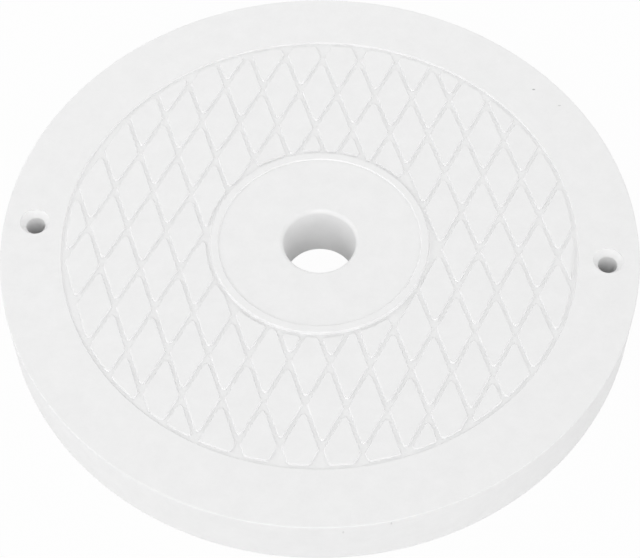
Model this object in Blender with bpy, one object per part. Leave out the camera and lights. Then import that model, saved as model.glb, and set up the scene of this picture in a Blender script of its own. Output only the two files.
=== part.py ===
"""Pool skimmer lid: a round moulded cover with a diamond tread, a finger hole and two screw holes.

The lid is one moulding. It is a plate with a skirt turned down round its rim, stiffened underneath by ribs,
a tube round the finger hole and a boss round each screw hole. Metres, +Z up. The origin is the centre of the
plane that the skirt's lower edge stands on. The screw holes lie on X, and the tread's diamonds point along Y.
"""

import math

import bmesh
import bpy
from mathutils import Matrix, Vector

# Plate and skirt
LID_DIAMETER = 0.2514
LID_HEIGHT = 0.0260
PLATE_THICKNESS = 0.0042
SKIRT_WALL = 0.0032
SKIRT_DRAFT = 0.0005
RIM_FILLET = 0.0012
SKIRT_EDGE_CHAMFER = 0.0006

# Finger hole and its tube; the hole is narrower at its foot by the draft
FINGER_HOLE_DIAMETER = 0.0285
FINGER_HOLE_DRAFT = 0.0004
FINGER_HOLE_FILLET = 0.0020
TUBE_WALL = 0.0030

# Raised bead round the plain central disc
BEAD_RADIUS = 0.0415
BEAD_TOP_WIDTH = 0.0027
BEAD_SLOPE_WIDTH = 0.0007
BEAD_HEIGHT = 0.0006

# Tread of diamond pads between two ring grooves
FLANGE_WIDTH = 0.0239
GROOVE_WIDTH = 0.0020
GROOVE_FLOOR_WIDTH = 0.0011
GROOVE_DEPTH = 0.0007
TREAD_PITCH = 0.01429
TREAD_HALF_ANGLE = 22.5
TREAD_CENTRE = (0.0009, 0.0003)
PAD_CORNER_RADIUS = 0.0016
SMALLEST_PAD_AREA = 8e-6

# Countersunk screw holes, each with a short straight lip above its cone
SCREW_RIM_DISTANCE = 0.0123
SCREW_COUNT = 2
SCREW_HOLE_DIAMETER = 0.0076
COUNTERSINK_DIAMETER = 0.0123
COUNTERSINK_ANGLE = 80.0
COUNTERSINK_LIP = 0.0004
BOSS_WALL = 0.0032

# Ribs under the plate
RIB_COUNT = 8
RIB_ROOT_THICKNESS = 0.0026
RIB_EDGE_THICKNESS = 0.0020
RIB_CLEARANCE = 0.0050
RING_RIB_RADIUS = 0.0700

# Fineness of the facets
TURN_STEPS = 96
FILLET_STEPS = 3
SCREW_HOLE_STEPS = 24
CORNER_STEPS = 2

# How far a pad's sloping side runs, as a share of the groove's depth: it ends just under the groove's floor
PAD_SLOPE_REACH = 1.2

# How far a joined shape reaches into its neighbour, or a cutter past the face it cuts
OVERLAP = 0.0010

LID_COLOUR = (0.86, 0.86, 0.86, 1.0)
LID_ROUGHNESS = 0.5

# Sizes that follow from the ones above
LID_RADIUS = LID_DIAMETER / 2
SKIRT_FOOT_RADIUS = LID_RADIUS - SKIRT_DRAFT
TREAD_OUTER_RADIUS = LID_RADIUS - FLANGE_WIDTH
PLATE_UNDERSIDE = LID_HEIGHT - PLATE_THICKNESS
GROOVE_FLOOR = LID_HEIGHT - GROOVE_DEPTH
GROOVE_WALL_RUN = (GROOVE_WIDTH - GROOVE_FLOOR_WIDTH) / 2
FINGER_HOLE_RADIUS = FINGER_HOLE_DIAMETER / 2
TUBE_RADIUS = FINGER_HOLE_RADIUS + TUBE_WALL
BEAD_FOOT_RADIUS = BEAD_RADIUS + BEAD_TOP_WIDTH / 2 + BEAD_SLOPE_WIDTH
PAD_FIELD_INNER = BEAD_FOOT_RADIUS + GROOVE_FLOOR_WIDTH + GROOVE_WALL_RUN
PAD_FIELD_OUTER = TREAD_OUTER_RADIUS - GROOVE_WIDTH
SCREW_RADIUS = LID_RADIUS - SCREW_RIM_DISTANCE
BOSS_RADIUS = SCREW_HOLE_DIAMETER / 2 + BOSS_WALL


def clear_scene():
    """Remove every object and mesh that the file holds."""
    for item in list(bpy.data.objects):
        bpy.data.objects.remove(item, do_unlink=True)
    for mesh in list(bpy.data.meshes):
        bpy.data.meshes.remove(mesh)


def add_object(name, bm):
    """Turn a bmesh into an object of the scene."""
    mesh = bpy.data.meshes.new(name)
    bm.to_mesh(mesh)
    bm.free()
    item = bpy.data.objects.new(name, mesh)
    bpy.context.collection.objects.link(item)
    return item


def add_helper(name, bm):
    """An object that only shapes the lid: drawn as a wire and left out of a render."""
    item = add_object(name, bm)
    item.hide_render = True
    item.display_type = "WIRE"
    return item


def arc(centre_r, centre_z, radius, start, end, steps):
    """Points (r, z) along an arc of a turned outline, both ends included; angles in degrees."""
    points = []
    for i in range(steps + 1):
        angle = math.radians(start + (end - start) * i / steps)
        points.append((centre_r + radius * math.cos(angle), centre_z + radius * math.sin(angle)))
    return points


def turn(outline, steps, closed_by_axis=False):
    """Spin an outline of (r, z) points about Z into a solid."""
    bm = bmesh.new()
    verts = [bm.verts.new((r, 0.0, z)) for r, z in outline]
    edges = [bm.edges.new(pair) for pair in zip(verts, verts[1:])]
    if not closed_by_axis:
        edges.append(bm.edges.new((verts[-1], verts[0])))
    bmesh.ops.spin(
        bm,
        geom=verts + edges,
        cent=(0.0, 0.0, 0.0),
        axis=(0.0, 0.0, 1.0),
        angle=math.tau,
        steps=steps,
        use_merge=True,
    )
    if closed_by_axis:
        bmesh.ops.remove_doubles(bm, verts=bm.verts, dist=1e-7)
    bmesh.ops.recalc_face_normals(bm, faces=bm.faces)
    return bm


def lid_outline():
    """Section of the turned body, from the skirt's outer foot up over the top and back underneath."""
    bead_inner = BEAD_RADIUS - BEAD_TOP_WIDTH / 2
    bead_outer = BEAD_RADIUS + BEAD_TOP_WIDTH / 2
    bead_top = LID_HEIGHT + BEAD_HEIGHT
    hole_rim = FINGER_HOLE_RADIUS + FINGER_HOLE_FILLET
    skirt_inside = SKIRT_FOOT_RADIUS - SKIRT_WALL
    rib_edge = RIB_EDGE_THICKNESS / 2
    rib_root = RIB_ROOT_THICKNESS / 2

    skirt = [(SKIRT_FOOT_RADIUS - SKIRT_EDGE_CHAMFER, 0.0), (SKIRT_FOOT_RADIUS, SKIRT_EDGE_CHAMFER)]
    rim = arc(LID_RADIUS - RIM_FILLET, LID_HEIGHT - RIM_FILLET, RIM_FILLET, 0, 90, FILLET_STEPS)
    tread = [
        (TREAD_OUTER_RADIUS, LID_HEIGHT),
        (TREAD_OUTER_RADIUS - GROOVE_WALL_RUN, GROOVE_FLOOR),
        (BEAD_FOOT_RADIUS, GROOVE_FLOOR),
    ]
    bead = [
        (bead_outer, bead_top),
        (bead_inner, bead_top),
        (bead_inner - BEAD_SLOPE_WIDTH, LID_HEIGHT),
    ]
    hole = arc(hole_rim, LID_HEIGHT - FINGER_HOLE_FILLET, FINGER_HOLE_FILLET, 90, 180, FILLET_STEPS)
    tube = [
        (FINGER_HOLE_RADIUS - FINGER_HOLE_DRAFT, 0.0),
        (TUBE_RADIUS, 0.0),
        (TUBE_RADIUS, PLATE_UNDERSIDE),
    ]
    ring_rib = [
        (RING_RIB_RADIUS - rib_root, PLATE_UNDERSIDE),
        (RING_RIB_RADIUS - rib_edge, RIB_CLEARANCE),
        (RING_RIB_RADIUS + rib_edge, RIB_CLEARANCE),
        (RING_RIB_RADIUS + rib_root, PLATE_UNDERSIDE),
    ]
    inside = [(skirt_inside, PLATE_UNDERSIDE), (skirt_inside, 0.0)]
    return skirt + rim + tread + bead + hole + tube + ring_rib + inside


def join_floor(bm):
    """Dissolve the tread floor's radial edges, all but two, so that the pads meet two plain half rings."""
    middle = (BEAD_FOOT_RADIUS + TREAD_OUTER_RADIUS) / 2
    radial = []
    for edge in bm.edges:
        first, second = (vert.co for vert in edge.verts)
        level = abs(first.z - GROOVE_FLOOR) + abs(second.z - GROOVE_FLOOR) < 1e-6
        spans = (first.xy.length - middle) * (second.xy.length - middle) < 0
        if level and spans:
            radial.append(edge)
    radial.sort(key=lambda edge: math.atan2(edge.verts[0].co.y, edge.verts[0].co.x))
    kept = (radial[0], radial[len(radial) // 2])
    bmesh.ops.dissolve_edges(bm, edges=[edge for edge in radial if edge not in kept], use_verts=False)


def one_pad():
    """A diamond pad about the origin: round corners, sides that slope from the top to just under the floor."""
    half_angle = math.radians(TREAD_HALF_ANGLE)
    run = GROOVE_WALL_RUN * PAD_SLOPE_REACH
    foot = TREAD_PITCH - GROOVE_WIDTH + 2 * run
    across = foot / math.cos(half_angle) / 2
    along = foot / math.sin(half_angle) / 2
    foot_level = LID_HEIGHT - GROOVE_DEPTH * PAD_SLOPE_REACH
    bm = bmesh.new()
    sides = [bm.verts.new((x, 0.0, foot_level)) for x in (across, -across)]
    tips = [bm.verts.new((0.0, y, foot_level)) for y in (along, -along)]
    bm.faces.new((sides[0], tips[0], sides[1], tips[1]))
    # The cut that rounds a corner starts further from it the sharper the corner is.
    for corners, half_corner in ((tips, half_angle), (sides, math.pi / 2 - half_angle)):
        bmesh.ops.bevel(
            bm,
            geom=corners,
            offset=PAD_CORNER_RADIUS / math.tan(half_corner),
            offset_type="OFFSET",
            affect="VERTICES",
            segments=CORNER_STEPS,
            profile=0.5,
            material=-1,
        )
    top = bm.faces[:]
    bmesh.ops.extrude_face_region(bm, geom=top, use_keep_orig=True)
    buried = [vert for vert in bm.verts if vert not in set(top[0].verts)]
    bmesh.ops.translate(bm, verts=buried, vec=(0.0, 0.0, PLATE_UNDERSIDE + OVERLAP - foot_level))
    bmesh.ops.inset_region(bm, faces=top, thickness=run, use_even_offset=True)
    bmesh.ops.translate(bm, verts=top[0].verts[:], vec=(0.0, 0.0, LID_HEIGHT - foot_level))
    bmesh.ops.recalc_face_normals(bm, faces=bm.faces)
    return bm


def pad_field():
    """The pad repeated over the tread, two grooves crossing at the tread's centre."""
    half_angle = math.radians(TREAD_HALF_ANGLE)
    across = TREAD_PITCH / math.cos(half_angle)
    along = TREAD_PITCH / math.sin(half_angle)
    middle = Vector((TREAD_CENTRE[0], TREAD_CENTRE[1], 0.0))
    reach = math.ceil(2 * PAD_FIELD_OUTER / across) + 1
    pad = one_pad()
    mesh = bpy.data.meshes.new("one_pad")
    pad.to_mesh(mesh)
    pad.free()
    bm = bmesh.new()
    for i in range(-reach, reach + 1):
        for j in range(-reach, reach + 1):
            centre = middle + Vector(((i + j + 1) * across / 2, (i - j) * along / 2, 0.0))
            if PAD_FIELD_INNER - along / 2 < centre.length < PAD_FIELD_OUTER + along / 2:
                before = len(bm.verts)
                bm.from_mesh(mesh)
                bm.verts.ensure_lookup_table()
                bmesh.ops.translate(bm, verts=bm.verts[before:], vec=centre)
    bpy.data.meshes.remove(mesh)
    return bm


def tread_limits():
    """The ring that the pads fill, its two sides sloping as the grooves' walls do."""
    slope = GROOVE_WALL_RUN / GROOVE_DEPTH
    top = LID_HEIGHT + OVERLAP
    spread = (top - PLATE_UNDERSIDE) * slope
    inner = PAD_FIELD_INNER + OVERLAP * slope
    outer = PAD_FIELD_OUTER - OVERLAP * slope
    outline = [
        (inner - spread, PLATE_UNDERSIDE),
        (outer + spread, PLATE_UNDERSIDE),
        (outer, top),
        (inner, top),
    ]
    return turn(outline, TURN_STEPS)


def islands(bm):
    """The separate bodies of a bmesh, each a set of its vertices."""
    left = set(bm.verts)
    while left:
        island = set()
        found = [left.pop()]
        while found:
            vert = found.pop()
            island.add(vert)
            near = {edge.other_vert(vert) for edge in vert.link_edges} & left
            left -= near
            found.extend(near)
        yield island


def drop_small_pads(bm):
    """Delete the slivers that the ring grooves leave of a diamond."""
    small = []
    for island in islands(bm):
        faces = {face for vert in island for face in vert.link_faces}
        area = sum(face.calc_area() for face in faces if face.normal.z > 0.9)
        if area < SMALLEST_PAD_AREA:
            small.extend(island)
    bmesh.ops.delete(bm, geom=small, context="VERTS")


def evaluated_bmesh(item):
    """The object's mesh with its modifiers applied, as a bmesh."""
    bpy.context.view_layer.update()
    evaluated = item.evaluated_get(bpy.context.evaluated_depsgraph_get())
    bm = bmesh.new()
    bm.from_mesh(evaluated.to_mesh())
    evaluated.to_mesh_clear()
    return bm


def add_boolean(item, other, operation):
    """Join or cut with another object, as a live modifier."""
    modifier = item.modifiers.new(other.name, "BOOLEAN")
    modifier.operation = operation
    modifier.solver = "EXACT"
    modifier.object = other


def make_pads():
    """The diamond pads, trimmed to the tread's ring."""
    field = add_helper("pad_field", pad_field())
    limits = add_helper("tread_limits", tread_limits())
    add_boolean(field, limits, "INTERSECT")
    bm = evaluated_bmesh(field)
    for helper in (field, limits):
        bpy.data.objects.remove(helper, do_unlink=True)
    drop_small_pads(bm)
    return add_helper("tread_pads", bm)


def make_ribs():
    """Radial ribs from the tube to the skirt, thinner at their free edge."""
    start = TUBE_RADIUS - TUBE_WALL / 2
    end = SKIRT_FOOT_RADIUS - SKIRT_WALL / 2
    top = PLATE_UNDERSIDE + OVERLAP
    bm = bmesh.new()
    for i in range(RIB_COUNT):
        made = bmesh.ops.create_cube(bm, size=1.0)["verts"]
        for vert in made:
            thickness = RIB_ROOT_THICKNESS if vert.co.z > 0 else RIB_EDGE_THICKNESS
            vert.co.x = start if vert.co.x < 0 else end
            vert.co.y *= thickness
            vert.co.z = top if vert.co.z > 0 else RIB_CLEARANCE
        turned = Matrix.Rotation(math.tau * i / RIB_COUNT, 4, "Z")
        bmesh.ops.transform(bm, matrix=turned, verts=made)
    return add_helper("ribs", bm)


def at_screw_holes(name, outline):
    """Copies of one turned shape at the screw holes."""
    bm = bmesh.new()
    for i in range(SCREW_COUNT):
        angle = math.tau * i / SCREW_COUNT
        one = turn(outline, SCREW_HOLE_STEPS, closed_by_axis=True)
        place = Vector((math.cos(angle), math.sin(angle), 0.0)) * SCREW_RADIUS
        bmesh.ops.translate(one, verts=one.verts, vec=place)
        mesh = bpy.data.meshes.new(name)
        one.to_mesh(mesh)
        one.free()
        bm.from_mesh(mesh)
        bpy.data.meshes.remove(mesh)
    return add_helper(name, bm)


def make_bosses():
    """Solid posts round the screw holes, down to the level of the skirt's foot."""
    top = PLATE_UNDERSIDE + OVERLAP
    return at_screw_holes("screw_bosses", [(0.0, 0.0), (BOSS_RADIUS, 0.0), (BOSS_RADIUS, top), (0.0, top)])


def make_screw_cutters():
    """Cutters for the through holes and their countersinks."""
    hole = SCREW_HOLE_DIAMETER / 2
    widen = math.tan(math.radians(COUNTERSINK_ANGLE / 2))
    sink = COUNTERSINK_DIAMETER / 2
    cone_top = LID_HEIGHT - COUNTERSINK_LIP
    outline = [
        (0.0, -OVERLAP),
        (hole, -OVERLAP),
        (hole, cone_top - (sink - hole) / widen),
        (sink, cone_top),
        (sink, LID_HEIGHT + OVERLAP),
        (0.0, LID_HEIGHT + OVERLAP),
    ]
    return at_screw_holes("screw_hole_cutters", outline)


def make_material():
    """White moulded ABS."""
    material = bpy.data.materials.new("white_moulded_abs")
    material.use_nodes = True
    shader = material.node_tree.nodes["Principled BSDF"]
    shader.inputs["Base Color"].default_value = LID_COLOUR
    shader.inputs["Roughness"].default_value = LID_ROUGHNESS
    shader.inputs["Metallic"].default_value = 0.0
    return material


def make_lid():
    """The whole moulding."""
    body = turn(lid_outline(), TURN_STEPS)
    join_floor(body)
    lid = add_object("skimmer_lid", body)
    add_boolean(lid, make_pads(), "UNION")
    add_boolean(lid, make_ribs(), "UNION")
    add_boolean(lid, make_bosses(), "UNION")
    add_boolean(lid, make_screw_cutters(), "DIFFERENCE")
    lid.data.materials.append(make_material())
    lid.data.shade_smooth()
    lid.data.set_sharp_from_angle(angle=math.radians(30))
    return lid


clear_scene()
make_lid()
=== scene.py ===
# Pool skimmer lid: the fine moulding, its white ABS, the studio light and the camera.
# Metres, +Z up. The screw holes lie on X and the tread's diamonds point along Y.

import math

import bmesh
import bpy
from mathutils import Matrix, Vector


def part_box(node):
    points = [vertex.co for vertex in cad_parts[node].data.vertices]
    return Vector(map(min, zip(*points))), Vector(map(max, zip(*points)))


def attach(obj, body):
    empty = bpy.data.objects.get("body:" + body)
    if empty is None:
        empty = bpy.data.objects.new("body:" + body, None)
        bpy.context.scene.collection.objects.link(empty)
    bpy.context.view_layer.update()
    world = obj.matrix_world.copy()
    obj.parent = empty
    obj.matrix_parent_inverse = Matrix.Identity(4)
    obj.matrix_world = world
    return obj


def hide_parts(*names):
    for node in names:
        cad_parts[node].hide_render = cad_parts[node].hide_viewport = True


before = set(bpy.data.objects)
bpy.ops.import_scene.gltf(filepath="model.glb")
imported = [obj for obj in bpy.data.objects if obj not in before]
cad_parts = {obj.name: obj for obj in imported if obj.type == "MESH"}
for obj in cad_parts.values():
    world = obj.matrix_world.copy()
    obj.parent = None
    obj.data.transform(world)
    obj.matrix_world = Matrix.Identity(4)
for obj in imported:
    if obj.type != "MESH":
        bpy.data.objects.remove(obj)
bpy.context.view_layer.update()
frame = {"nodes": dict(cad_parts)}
print("frame loaded:", ", ".join(frame["nodes"]))

# The lid's sizes. Its radius and its highest point come from the frame.
lowCorner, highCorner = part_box("skimmer_lid")

lid = {
    "radius": (highCorner.x - lowCorner.x) / 2,
    "beadTop": highCorner.z,
    "plate": 0.0042,
    "skirtWall": 0.0032,
    "skirtDraft": 0.0005,  # the foot is this much smaller than the rim
    "rimRounding": 0.0005,
    "footRounding": 0.0006,
    "underRounding": 0.0010,  # inside corners under the plate
    "sharpFrom": 35.0,  # an edge bent by more degrees than this is shaded sharp
    "turnSteps": 288,
}

fingerHole = {
    "radius": 0.01425,
    "draft": 0.0004,  # the foot is this much narrower than the top
    "rounding": 0.0020,
    "tubeWall": 0.0030,
}

bead = {
    "radius": 0.0415,
    "topWidth": 0.0028,
    "slopeWidth": 0.0004,  # on the outside
    "innerSlopeWidth": 0.0003,
    "height": 0.0006,
    "rounding": 0.0002,
    "footRounding": 0.0001,  # on the inside
}

tread = {
    "flange": 0.0239,  # plain ring between the tread and the rim
    "grooveWidth": 0.0019,  # between the upper edges of its walls
    "grooveFloor": 0.0014,
    "beadGrooveFloor": 0.0013,  # beside the bead
    "grooveDepth": 0.00075,
    "slopeReach": 1.2,  # how far down the pads' sides run, as a share of that depth
    "pitch": 0.01429,  # from groove to groove, square across them
    "halfAngle": 22.5,  # half of the diamonds' sharp angle
    "centre": (0.0009, 0.0003),  # where two grooves cross, a little off the middle of the lid
    "cornerFrom": 20.0,  # a bend of a pad's outline by more degrees than this is a corner
    "padCorner": 0.0016,
    "nearCorner": 0.0032,  # a joint of the ring's arc nearer to a corner than this is left out
    "cornerRoom": 0.9,  # how much of the side beside it a corner may take
    "sharedRoom": 0.45,  # the same where another corner ends that side
    "tightestCorner": 0.0007,  # a corner without room for this radius stays sharp
    "shortestSide": 0.0004,  # a shorter side of a pad's outline is merged away
    "edgeRounding": 0.0002,
    "smallestPad": 20e-6,  # in square metres, at its foot
    "cornerSteps": 4,
    "edgeSteps": 3,
}

screwHoles = {
    "count": 2,
    "fromRim": 0.0123,
    "radius": 0.0038,
    "countersinkRadius": 0.0059,
    "countersinkAngle": 84.0,
    "wallDepth": 0.0007,  # of the short wall that stands above the cone
    "wallLean": 0.00003,  # how much wider it is at its top
    "lipRounding": 0.0001,
    "coneRounding": 0.0001,
    "creaseRounding": 0.0003,  # between the cone and the wall
    "bossWall": 0.0032,
    "turnSteps": 72,
}

ribs = {
    "count": 8,
    "rootThickness": 0.0026,
    "edgeThickness": 0.0020,
    "clearance": 0.0050,  # the ribs end this far above the skirt's foot
    "ringRadius": 0.0700,
    "edgeRounding": 0.0004,
    "edgeSteps": 3,
}

overlap = 0.0010  # how far a joined shape reaches into its neighbour, or a cutter past the face it cuts
faceLift = 0.00002  # keeps a cutter's flat off the face beside it
samePlace = 1e-6  # points nearer to each other than this are one point
facingUp = 0.9  # least upward part of the normal of a face that looks up

lidHeight = lid["beadTop"] - bead["height"]
underside = lidHeight - lid["plate"]
grooveFloor = lidHeight - tread["grooveDepth"]
wallRun = (tread["grooveWidth"] - tread["grooveFloor"]) / 2
beadFoot = bead["radius"] + bead["topWidth"] / 2 + bead["slopeWidth"]
treadOuter = lid["radius"] - tread["flange"]
padInner = beadFoot + tread["beadGrooveFloor"] + wallRun
padOuter = treadOuter - tread["grooveWidth"]
padFoot = lidHeight - tread["grooveDepth"] * tread["slopeReach"]
padFootRun = wallRun * tread["slopeReach"]
padBottom = padFoot - lid["plate"] / 2  # hidden in the plate
tubeRadius = fingerHole["radius"] + fingerHole["tubeWall"]
skirtFoot = lid["radius"] - lid["skirtDraft"]
skirtInside = skirtFoot - lid["skirtWall"]


# Modelling

def addObject(name, bm):
    mesh = bpy.data.meshes.new(name)
    bm.to_mesh(mesh)
    bm.free()
    item = bpy.data.objects.new(name, mesh)
    bpy.context.collection.objects.link(item)
    return item


def roundCorner(bm, vert, radius, steps):
    # A vertex bevel slides along both edges, so the radius becomes the length of the tangent.
    one, other = (edge.other_vert(vert).co - vert.co for edge in vert.link_edges)
    slide = radius / math.tan(one.angle(other) / 2)
    bmesh.ops.bevel(
        bm, geom=[vert], offset=slide, offset_type="OFFSET", affect="VERTICES",
        segments=steps, profile=0.5, material=-1,
    )


def turn(corners, steps, closedByAxis=False):
    # Corners are (radius, height, rounding, rounding steps), in order round the section.
    bm = bmesh.new()
    verts = [bm.verts.new((r, 0.0, z)) for r, z, rounding, count in corners]
    for pair in zip(verts, verts[1:]):
        bm.edges.new(pair)
    if not closedByAxis:
        bm.edges.new((verts[-1], verts[0]))
    for vert, (r, z, rounding, count) in zip(verts, corners):
        if rounding:
            roundCorner(bm, vert, rounding, count)
    bmesh.ops.spin(
        bm, geom=bm.verts[:] + bm.edges[:], cent=(0.0, 0.0, 0.0), axis=(0.0, 0.0, 1.0),
        angle=math.tau, steps=steps, use_merge=True,
    )
    if closedByAxis:
        bmesh.ops.remove_doubles(bm, verts=bm.verts, dist=samePlace)
    bmesh.ops.recalc_face_normals(bm, faces=bm.faces)
    return bm


def boolean(item, other, operation):
    modifier = item.modifiers.new(other.name, "BOOLEAN")
    modifier.operation = operation
    modifier.solver = "EXACT"
    modifier.object = other


def evaluated(item):
    # The object's mesh with its modifiers applied.
    bpy.context.view_layer.update()
    result = item.evaluated_get(bpy.context.evaluated_depsgraph_get())
    bm = bmesh.new()
    bm.from_mesh(result.to_mesh())
    result.to_mesh_clear()
    return bm


def removeObjects(items):
    for item in items:
        bpy.data.objects.remove(item, do_unlink=True)


def turnedBody():
    # Skirt, rim, tread floor, bead, finger hole with its tube, ring rib and the plate's underside.
    beadInner = bead["radius"] - bead["topWidth"] / 2
    beadOuter = bead["radius"] + bead["topWidth"] / 2
    foot = lid["footRounding"]
    under = lid["underRounding"]
    edge = tread["edgeRounding"]
    ribRoot = ribs["rootThickness"] / 2
    ribEdge = ribs["edgeThickness"] / 2
    ribRounding = ribs["edgeRounding"]
    corners = [
        (skirtInside, 0.0, foot, 3),
        (skirtFoot, 0.0, foot, 4),
        (lid["radius"], lidHeight, lid["rimRounding"], 8),
        (treadOuter, lidHeight, edge, 3),
        (treadOuter - wallRun, grooveFloor, 0, 0),
        (beadFoot, grooveFloor, 0, 0),
        (beadOuter, lid["beadTop"], bead["rounding"], 4),
        (beadInner, lid["beadTop"], bead["rounding"], 4),
        (beadInner - bead["innerSlopeWidth"], lidHeight, bead["footRounding"], 4),
        (fingerHole["radius"], lidHeight, fingerHole["rounding"], 8),
        (fingerHole["radius"] - fingerHole["draft"], 0.0, foot / 2, 3),
        (tubeRadius, 0.0, foot / 2, 3),
        (tubeRadius, underside, under, 4),
        (ribs["ringRadius"] - ribRoot, underside, under, 4),
        (ribs["ringRadius"] - ribEdge, ribs["clearance"], ribRounding, 3),
        (ribs["ringRadius"] + ribEdge, ribs["clearance"], ribRounding, 3),
        (ribs["ringRadius"] + ribRoot, underside, under, 4),
        (skirtInside, underside, under, 4),
    ]
    bm = turn(corners, lid["turnSteps"])
    joinFloor(bm)
    return addObject("lidMoulding", bm)


def joinFloor(bm):
    # The tread's floor becomes two plain half rings, so that the pads cut one flat face.
    middle = (beadFoot + treadOuter) / 2
    radial = []
    for edge in bm.edges:
        first, second = (vert.co for vert in edge.verts)
        onFloor = abs(first.z - grooveFloor) + abs(second.z - grooveFloor) < samePlace
        if onFloor and (first.xy.length - middle) * (second.xy.length - middle) < 0:
            radial.append(edge)
    radial.sort(key=lambda edge: math.atan2(edge.verts[0].co.y, edge.verts[0].co.x))
    kept = (radial[0], radial[len(radial) // 2])
    bmesh.ops.dissolve_edges(bm, edges=[edge for edge in radial if edge not in kept], use_verts=False)


def padPrisms():
    # Upright prisms, one for each diamond, whose tops lie just under the floor. Two grooves cross
    # at the tread's centre.
    halfAngle = math.radians(tread["halfAngle"])
    across = tread["pitch"] / math.cos(halfAngle)
    along = tread["pitch"] / math.sin(halfAngle)
    size = tread["pitch"] - tread["grooveWidth"] + 2 * padFootRun
    reach = math.ceil(2 * padOuter / across) + 1  # rows enough to pass the ring on every side
    bm = bmesh.new()
    for i in range(-reach, reach + 1):
        for j in range(-reach, reach + 1):
            x = tread["centre"][0] + (i + j + 1) * across / 2
            y = tread["centre"][1] + (i - j) * along / 2
            if padInner - along / 2 < math.hypot(x, y) < padOuter + along / 2:
                made = bmesh.ops.create_circle(bm, cap_ends=True, segments=4, radius=0.5)["verts"]
                bmesh.ops.scale(
                    bm, verts=made, vec=(size / math.cos(halfAngle), size / math.sin(halfAngle), 1.0),
                )
                bmesh.ops.translate(bm, verts=made, vec=(x, y, padFoot))
    made = bmesh.ops.extrude_face_region(bm, geom=bm.faces[:], use_keep_orig=True)["geom"]
    buried = [item for item in made if isinstance(item, bmesh.types.BMVert)]
    bmesh.ops.translate(bm, verts=buried, vec=(0.0, 0.0, padBottom - padFoot))
    bmesh.ops.recalc_face_normals(bm, faces=bm.faces)
    return addObject("padPrisms", bm)


def treadRing():
    # The upright ring that the prisms are trimmed to.
    top = padFoot + overlap
    bottom = padBottom - overlap
    corners = [
        (padInner - padFootRun, bottom, 0, 0),
        (padOuter + padFootRun, bottom, 0, 0),
        (padOuter + padFootRun, top, 0, 0),
        (padInner - padFootRun, top, 0, 0),
    ]
    return addObject("treadRing", turn(corners, lid["turnSteps"] // 2))


def looksUp(face):
    return face.normal.z > facingUp


def upright(edge):
    return (edge.verts[0].co.xy - edge.verts[1].co.xy).length < samePlace


def isCorner(edge):
    return upright(edge) and edge.calc_face_angle() > math.radians(tread["cornerFrom"])


def sidesOf(corner):
    # The upright edges on either side of a corner, each with its distance from it.
    place = corner.verts[0].co.xy
    for side in corner.link_faces:
        for edge in side.edges:
            if edge is not corner and upright(edge):
                yield edge, (edge.verts[0].co.xy - place).length


def once(items):
    # Each item one time, in the order in which they come. A set would shuffle them from run to run.
    return dict.fromkeys(items)


def roundPadCorners(bm):
    # The joints of the ring's arc that lie close to a corner go first, so that the rounding has room.
    corners = once(edge for edge in bm.edges if isCorner(edge))
    joints = once(
        edge for corner in corners for edge, distance in sidesOf(corner)
        if edge not in corners and distance < tread["nearCorner"]
    )
    bmesh.ops.dissolve_edges(bm, edges=list(joints), use_verts=True)
    rounded = []
    for corner in corners:
        halfCorner = (math.pi - corner.calc_face_angle()) / 2
        room = min(
            distance * (tread["sharedRoom"] if edge in corners else tread["cornerRoom"])
            for edge, distance in sidesOf(corner)
        )
        slide = min(tread["padCorner"] / math.tan(halfCorner), room)
        if slide * math.tan(halfCorner) > tread["tightestCorner"]:
            rounded.append((corner, slide))
    for corner, slide in rounded:
        bmesh.ops.bevel(
            bm, geom=[corner], offset=slide, offset_type="OFFSET", affect="EDGES",
            segments=tread["cornerSteps"], profile=0.5, material=-1,
        )


def raisePads(bm):
    # Sides that slope up to the lid's top, with a rounded upper edge.
    tops = [face for face in bm.faces if looksUp(face)]
    bmesh.ops.inset_region(bm, faces=tops, thickness=padFootRun, use_even_offset=True)
    verts = once(vert for face in tops for vert in face.verts)
    bmesh.ops.translate(bm, verts=list(verts), vec=(0.0, 0.0, lidHeight - padFoot))
    edges = once(edge for face in tops for edge in face.edges)
    bmesh.ops.bevel(
        bm, geom=list(edges), offset=tread["edgeRounding"], offset_type="OFFSET", affect="EDGES",
        segments=tread["edgeSteps"], profile=0.5, material=-1,
    )
    bmesh.ops.recalc_face_normals(bm, faces=bm.faces)


def islands(bm):
    # The vertices of each separate shape, one shape at a time.
    left = set(bm.verts)
    for start in bm.verts[:]:
        if start not in left:
            continue
        left.remove(start)
        island = [start]
        for vert in island:
            near = [edge.other_vert(vert) for edge in vert.link_edges]
            island.extend(item for item in near if item in left)
            left.difference_update(near)
        yield island


def treadPads():
    # The diamonds between the two ring grooves, without the slivers that the rings cut off.
    prisms = padPrisms()
    ring = treadRing()
    boolean(prisms, ring, "INTERSECT")
    bm = evaluated(prisms)
    removeObjects([prisms, ring])
    slivers = []
    for island in islands(bm):
        faces = once(face for vert in island for face in vert.link_faces)
        if sum(face.calc_area() for face in faces if looksUp(face)) < tread["smallestPad"]:
            slivers.extend(island)
    bmesh.ops.delete(bm, geom=slivers, context="VERTS")
    bmesh.ops.remove_doubles(bm, verts=bm.verts, dist=tread["shortestSide"])
    roundPadCorners(bm)
    raisePads(bm)
    return addObject("treadPads", bm)


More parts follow.
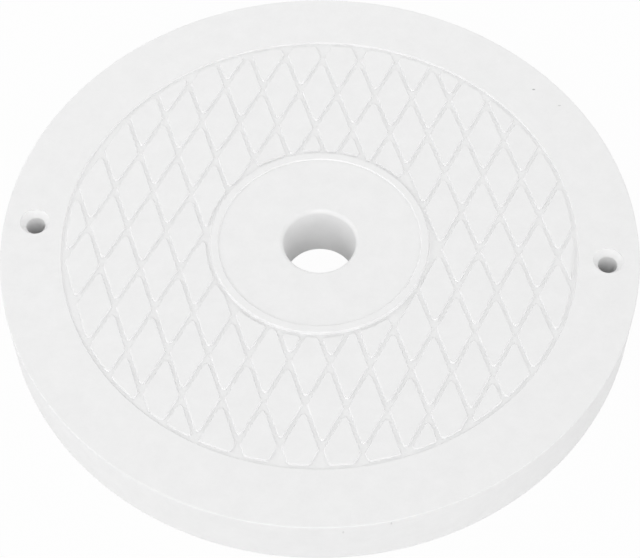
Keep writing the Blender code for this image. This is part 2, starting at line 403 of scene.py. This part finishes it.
def radialRibs():
    # From the tube to the skirt, thinner at the free edge, which is rounded.
    start = tubeRadius - fingerHole["tubeWall"] / 2
    end = skirtFoot - lid["skirtWall"] / 2
    top = underside + overlap
    bm = bmesh.new()
    for i in range(ribs["count"]):
        made = bmesh.ops.create_cube(bm, size=1.0)["verts"]
        for vert in made:
            thickness = ribs["rootThickness"] if vert.co.z > 0 else ribs["edgeThickness"]
            vert.co.x = start if vert.co.x < 0 else end
            vert.co.y *= thickness
            vert.co.z = top if vert.co.z > 0 else ribs["clearance"]
        lower = [
            edge for edge in bm.edges
            if edge.verts[0] in made and edge.calc_length() > end / 2
            and edge.verts[0].co.z < underside and edge.verts[1].co.z < underside
        ]
        rounded = bmesh.ops.bevel(
            bm, geom=lower, offset=ribs["edgeRounding"], offset_type="OFFSET", affect="EDGES",
            segments=ribs["edgeSteps"], profile=0.5, material=-1,
        )
        whole = once([vert for vert in made if vert.is_valid] + rounded["verts"])
        bmesh.ops.rotate(
            bm, verts=list(whole), cent=(0.0, 0.0, 0.0),
            matrix=Matrix.Rotation(math.tau * i / ribs["count"], 3, "Z"),
        )
    bmesh.ops.recalc_face_normals(bm, faces=bm.faces)
    return addObject("radialRibs", bm)


def atScrewHoles(name, corners):
    # One turned shape at each screw hole, all in one object.
    bm = bmesh.new()
    place = lid["radius"] - screwHoles["fromRim"]
    for i in range(screwHoles["count"]):
        one = turn(corners, screwHoles["turnSteps"], closedByAxis=True)
        bmesh.ops.translate(one, verts=one.verts, vec=(place, 0.0, 0.0))
        bmesh.ops.rotate(
            one, verts=one.verts, cent=(0.0, 0.0, 0.0),
            matrix=Matrix.Rotation(math.tau * i / screwHoles["count"], 3, "Z"),
        )
        mesh = bpy.data.meshes.new(name)
        one.to_mesh(mesh)
        one.free()
        bm.from_mesh(mesh)
        bpy.data.meshes.remove(mesh)
    return addObject(name, bm)


def screwBosses():
    radius = screwHoles["radius"] + screwHoles["bossWall"]
    top = underside + overlap
    corners = [
        (0.0, 0.0, 0, 0),
        (radius, 0.0, lid["footRounding"] / 2, 3),
        (radius, top, 0, 0),
        (0.0, top, 0, 0),
    ]
    return atScrewHoles("screwBosses", corners)


def screwCutters():
    # The hole right through, the countersink's cone, the short wall above it, and their roundings.
    hole = screwHoles["radius"]
    sink = screwHoles["countersinkRadius"]
    lip = screwHoles["lipRounding"]
    coneTop = lidHeight - screwHoles["wallDepth"]
    depth = (sink - hole) / math.tan(math.radians(screwHoles["countersinkAngle"] / 2))
    top = lidHeight + faceLift
    corners = [
        (0.0, -overlap, 0, 0),
        (hole, -overlap, 0, 0),
        (hole, coneTop - depth, screwHoles["coneRounding"], 3),
        (sink, coneTop, screwHoles["creaseRounding"], 4),
        (sink + screwHoles["wallLean"], top, lip, 4),
        (sink + overlap, top, 0, 0),
        (sink + overlap, top + overlap, 0, 0),
        (0.0, top + overlap, 0, 0),
    ]
    return atScrewHoles("screwCutters", corners)


def makeLid():
    body = turnedBody()
    helpers = [treadPads(), radialRibs(), screwBosses(), screwCutters()]
    for helper in helpers[:-1]:
        boolean(body, helper, "UNION")
    boolean(body, helpers[-1], "DIFFERENCE")
    bm = evaluated(body)
    removeObjects([body] + helpers)
    bmesh.ops.remove_doubles(bm, verts=bm.verts, dist=samePlace)
    bmesh.ops.dissolve_degenerate(bm, edges=bm.edges, dist=samePlace)
    item = addObject("mouldedLid", bm)
    item.data.shade_smooth()
    item.data.set_sharp_from_angle(angle=math.radians(lid["sharpFrom"]))
    normals = item.modifiers.new("WeightedNormal", "WEIGHTED_NORMAL")
    normals.mode = "FACE_AREA"
    normals.keep_sharp = True
    return item


# Materials

def linear(hexColour):
    # A hex colour as Blender's linear red, green, blue and alpha.
    channels = [int(hexColour[i:i + 2], 16) / 255 for i in (1, 3, 5)]
    return tuple(c / 12.92 if c <= 0.04045 else ((c + 0.055) / 1.055) ** 2.4 for c in channels) + (1.0,)


def node(tree, kind, links=None, **settings):
    # Adds a node. Links are what feeds its sockets, by name or number: an output, or a plain value.
    # Settings are the node's own properties.
    made = tree.nodes.new(kind)
    for name, value in settings.items():
        setattr(made, name, value)
    for socket, source in (links or {}).items():
        if hasattr(source, "is_output"):
            tree.links.new(source, made.inputs[socket])
        else:
            made.inputs[socket].default_value = source
    return made


def newMaterial(name):
    material = bpy.data.materials.new(name)
    material.use_nodes = True
    material.node_tree.nodes.clear()
    return material, material.node_tree


whiteAbs = {
    "colour": "#F4F4F4",
    "cloud": "#E9E9E9",  # faint clouding from the flow of the melt
    "cloudSize": 0.008,
    "cloudDetail": 4.0,
    "cloudRoughness": 0.80,
    "roughness": 0.46,
    "grainSize": 0.0004,  # the mould's satin grain, drawn coarser than its 0.1 mm so that it shows
    "grainDepth": 0.000004,
    "grainDetail": 2.0,
    "speck": "#6E6E6E",
    "speckEdge": 0.55,  # where a speck starts to fade, as a share of its reach
    "speckHeight": 2.0,  # its half height, as a share of its half width
}

# Dark specks on the moulding: middle, half length, half width, turn in degrees, and strength.
specksOfDirt = [
    ((0.0819, 0.0834, lidHeight), 0.00075, 0.00045, 5.0, 0.60),
    ((0.0927, 0.0758, lidHeight), 0.00085, 0.00035, 15.0, 0.30),
    ((0.0364, -0.1202, lidHeight - 0.0018), 0.00040, 0.00060, 17.0, 0.25),
    ((0.0193, -0.1241, lidHeight - 0.0041), 0.00045, 0.00060, 9.0, 0.20),
    ((-0.0565, -0.0656, lidHeight), 0.00040, 0.00090, -22.0, 0.30),
]


def specks(tree, place):
    # 1 inside a speck and 0 on clean plastic. Each is a small ellipsoid with a soft edge.
    darkest = None
    for centre, halfLength, halfWidth, turned, strength in specksOfDirt:
        local = node(
            tree, "ShaderNodeMapping",
            {
                "Vector": place, "Location": centre, "Rotation": (0.0, 0.0, math.radians(turned)),
                "Scale": (halfLength, halfWidth, halfWidth * whiteAbs["speckHeight"]),
            },
            vector_type="TEXTURE",
        )
        reach = node(tree, "ShaderNodeVectorMath", {0: local.outputs[0]}, operation="LENGTH")
        soft = node(
            tree, "ShaderNodeMapRange",
            {
                "Value": reach.outputs["Value"], "From Min": whiteAbs["speckEdge"], "From Max": 1.0,
                "To Min": strength, "To Max": 0.0,
            },
        ).outputs["Result"]
        if darkest:
            soft = node(tree, "ShaderNodeMath", {0: darkest, 1: soft}, operation="MAXIMUM").outputs[0]
        darkest = soft
    return darkest


def whiteMouldedAbs():
    # ABS from a satin mould: an even white with a low gloss and soft edges to its highlights.
    material, tree = newMaterial("whiteMouldedAbs")
    place = node(tree, "ShaderNodeTexCoord").outputs["Object"]
    cloud = node(
        tree, "ShaderNodeTexNoise",
        {
            "Vector": place, "Scale": 1 / whiteAbs["cloudSize"], "Detail": whiteAbs["cloudDetail"],
            "Roughness": whiteAbs["cloudRoughness"],
        },
    )
    clean = node(
        tree, "ShaderNodeMix",
        {0: cloud.outputs["Fac"], 6: linear(whiteAbs["cloud"]), 7: linear(whiteAbs["colour"])},
        data_type="RGBA",
    )
    colour = node(
        tree, "ShaderNodeMix",
        {0: specks(tree, place), 6: clean.outputs[2], 7: linear(whiteAbs["speck"])},
        data_type="RGBA",
    )
    grain = node(
        tree, "ShaderNodeTexNoise",
        {"Vector": place, "Scale": 1 / whiteAbs["grainSize"], "Detail": whiteAbs["grainDetail"]},
    )
    bump = node(
        tree, "ShaderNodeBump",
        {"Height": grain.outputs["Fac"], "Distance": whiteAbs["grainDepth"], "Strength": 1.0},
    )
    shader = node(
        tree, "ShaderNodeBsdfPrincipled",
        {
            "Base Color": colour.outputs[2], "Roughness": whiteAbs["roughness"],
            "Normal": bump.outputs["Normal"],
        },
    )
    node(tree, "ShaderNodeOutputMaterial", {"Surface": shader.outputs["BSDF"]})
    return material


# Studio

studio = {
    "floorSize": 6.0,
    "floorDrop": 0.0002,  # the floor lies just under the foot, so that the two faces don't fight
    "floorColour": "#D2D2D2",
    "whiteShare": 0.97,  # how much of the floor's look is plain white, and not its own shading
    "horizonLight": 0.94,  # strength of the room's light low down
    "zenithLight": 0.28,  # and straight above
}

# Softboxes round the table: azimuth 0 stands on the camera's side and 90 to its right.
softboxes = {
    "left": {"azimuth": -90.0, "elevation": 30.0, "distance": 1.6, "size": 0.85, "watts": 5.5},
    "front": {"azimuth": 0.0, "elevation": 45.0, "distance": 3.0, "size": 1.6, "watts": 28.3},
    "frontLow": {"azimuth": 0.0, "elevation": 15.0, "distance": 3.0, "size": 1.6, "watts": 9.5},
    "right": {"azimuth": 90.0, "elevation": 30.0, "distance": 3.0, "size": 1.6, "watts": 12.0},
    "back": {"azimuth": 180.0, "elevation": 30.0, "distance": 2.0, "size": 1.07, "watts": 7.0},
}

camera = {
    "azimuth": 5.392,
    "elevation": 56.333,
    "roll": -0.539,
    "distance": 0.78503,
    "lens": 113.50,
    "sensor": 36.0,
    "aim": (0.001719, -0.018007),  # the point of the lid's top that the middle of the frame looks at
}


def direction(azimuth, elevation):
    # From the lid towards a lamp or the camera. Azimuth 0 stands at -Y and 90 at +X.
    a = math.radians(azimuth)
    e = math.radians(elevation)
    return Vector((math.sin(a) * math.cos(e), -math.cos(a) * math.cos(e), math.sin(e)))


def whiteForCamera(tree):
    # 1 where the camera, a reflection or a transparent part looks at the stage, else 0.
    path = node(tree, "ShaderNodeLightPath")
    seen = node(
        tree, "ShaderNodeMath",
        {0: path.outputs["Is Camera Ray"], 1: path.outputs["Is Glossy Ray"]}, operation="MAXIMUM",
    )
    return node(
        tree, "ShaderNodeMath",
        {0: seen.outputs[0], 1: path.outputs["Is Transmission Ray"]}, operation="MAXIMUM",
    ).outputs[0]


def paperFloor():
    # White seamless paper: matt, and close to the white of the background.
    material, tree = newMaterial("whiteSeamlessPaper")
    paper = node(tree, "ShaderNodeBsdfDiffuse", {"Color": linear(studio["floorColour"])})
    white = node(tree, "ShaderNodeEmission", {"Color": (1.0, 1.0, 1.0, 1.0), "Strength": 1.0})
    share = node(
        tree, "ShaderNodeMath", {0: whiteForCamera(tree), 1: studio["whiteShare"]},
        operation="MULTIPLY",
    )
    mixed = node(
        tree, "ShaderNodeMixShader",
        {0: share.outputs[0], 1: paper.outputs[0], 2: white.outputs[0]},
    )
    node(tree, "ShaderNodeOutputMaterial", {"Surface": mixed.outputs[0]})
    return material


def makeFloor():
    bm = bmesh.new()
    bmesh.ops.create_grid(bm, x_segments=1, y_segments=1, size=studio["floorSize"] / 2)
    bmesh.ops.translate(bm, verts=bm.verts, vec=(0.0, 0.0, lowCorner.z - studio["floorDrop"]))
    floor = addObject("paperFloor", bm)
    floor.data.materials.append(paperFloor())


def makeWorld():
    # The room's light runs from the horizon's strength up to the zenith's.
    world = bpy.data.worlds.new("softRoom")
    bpy.context.scene.world = world
    world.use_nodes = True
    tree = world.node_tree
    tree.nodes.clear()
    way = node(tree, "ShaderNodeTexCoord").outputs["Generated"]
    height = node(tree, "ShaderNodeSeparateXYZ", {0: way}).outputs["Z"]
    strength = node(
        tree, "ShaderNodeMapRange",
        {"Value": height, "To Min": studio["horizonLight"], "To Max": studio["zenithLight"]},
    )
    light = node(
        tree, "ShaderNodeBackground",
        {"Color": (1.0, 1.0, 1.0, 1.0), "Strength": strength.outputs["Result"]},
    )
    white = node(tree, "ShaderNodeBackground", {"Color": (1.0, 1.0, 1.0, 1.0), "Strength": 1.0})
    mixed = node(
        tree, "ShaderNodeMixShader",
        {0: whiteForCamera(tree), 1: light.outputs[0], 2: white.outputs[0]},
    )
    node(tree, "ShaderNodeOutputWorld", {"Surface": mixed.outputs[0]})


def makeSoftbox(name, box):
    data = bpy.data.lights.new(name, "AREA")
    data.shape = "SQUARE"
    data.size = box["size"]
    data.energy = box["watts"]
    lamp = bpy.data.objects.new(name, data)
    back = direction(box["azimuth"], box["elevation"])
    lamp.location = back * box["distance"]
    lamp.rotation_euler = back.to_track_quat("Z", "Y").to_euler()
    bpy.context.collection.objects.link(lamp)


def makeCamera():
    data = bpy.data.cameras.new("camera")
    data.sensor_width = camera["sensor"]
    data.lens = camera["lens"]
    item = bpy.data.objects.new("camera", data)
    back = direction(camera["azimuth"], camera["elevation"])
    turned = Matrix.Rotation(math.radians(camera["azimuth"]), 3, "Z")
    across = turned @ Vector((1.0, 0.0, 0.0))
    up = back.cross(across)
    unrolled = Matrix((across, up, back)).transposed()
    rolled = unrolled @ Matrix.Rotation(math.radians(camera["roll"]), 3, "Z")
    aim = Vector((camera["aim"][0], camera["aim"][1], lidHeight))
    item.matrix_world = Matrix.Translation(aim + back * camera["distance"]) @ rolled.to_4x4()
    bpy.context.collection.objects.link(item)
    bpy.context.scene.camera = item


lidPiece = makeLid()
lidPiece.data.materials.append(whiteMouldedAbs())
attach(lidPiece, "root")
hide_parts("skimmer_lid")
print("lid modelled:", len(lidPiece.data.polygons), "faces")

makeFloor()
makeWorld()
for name, box in softboxes.items():
    makeSoftbox(name, box)
makeCamera()
bpy.context.scene.view_settings.view_transform = "Standard"
print("studio and camera ready")
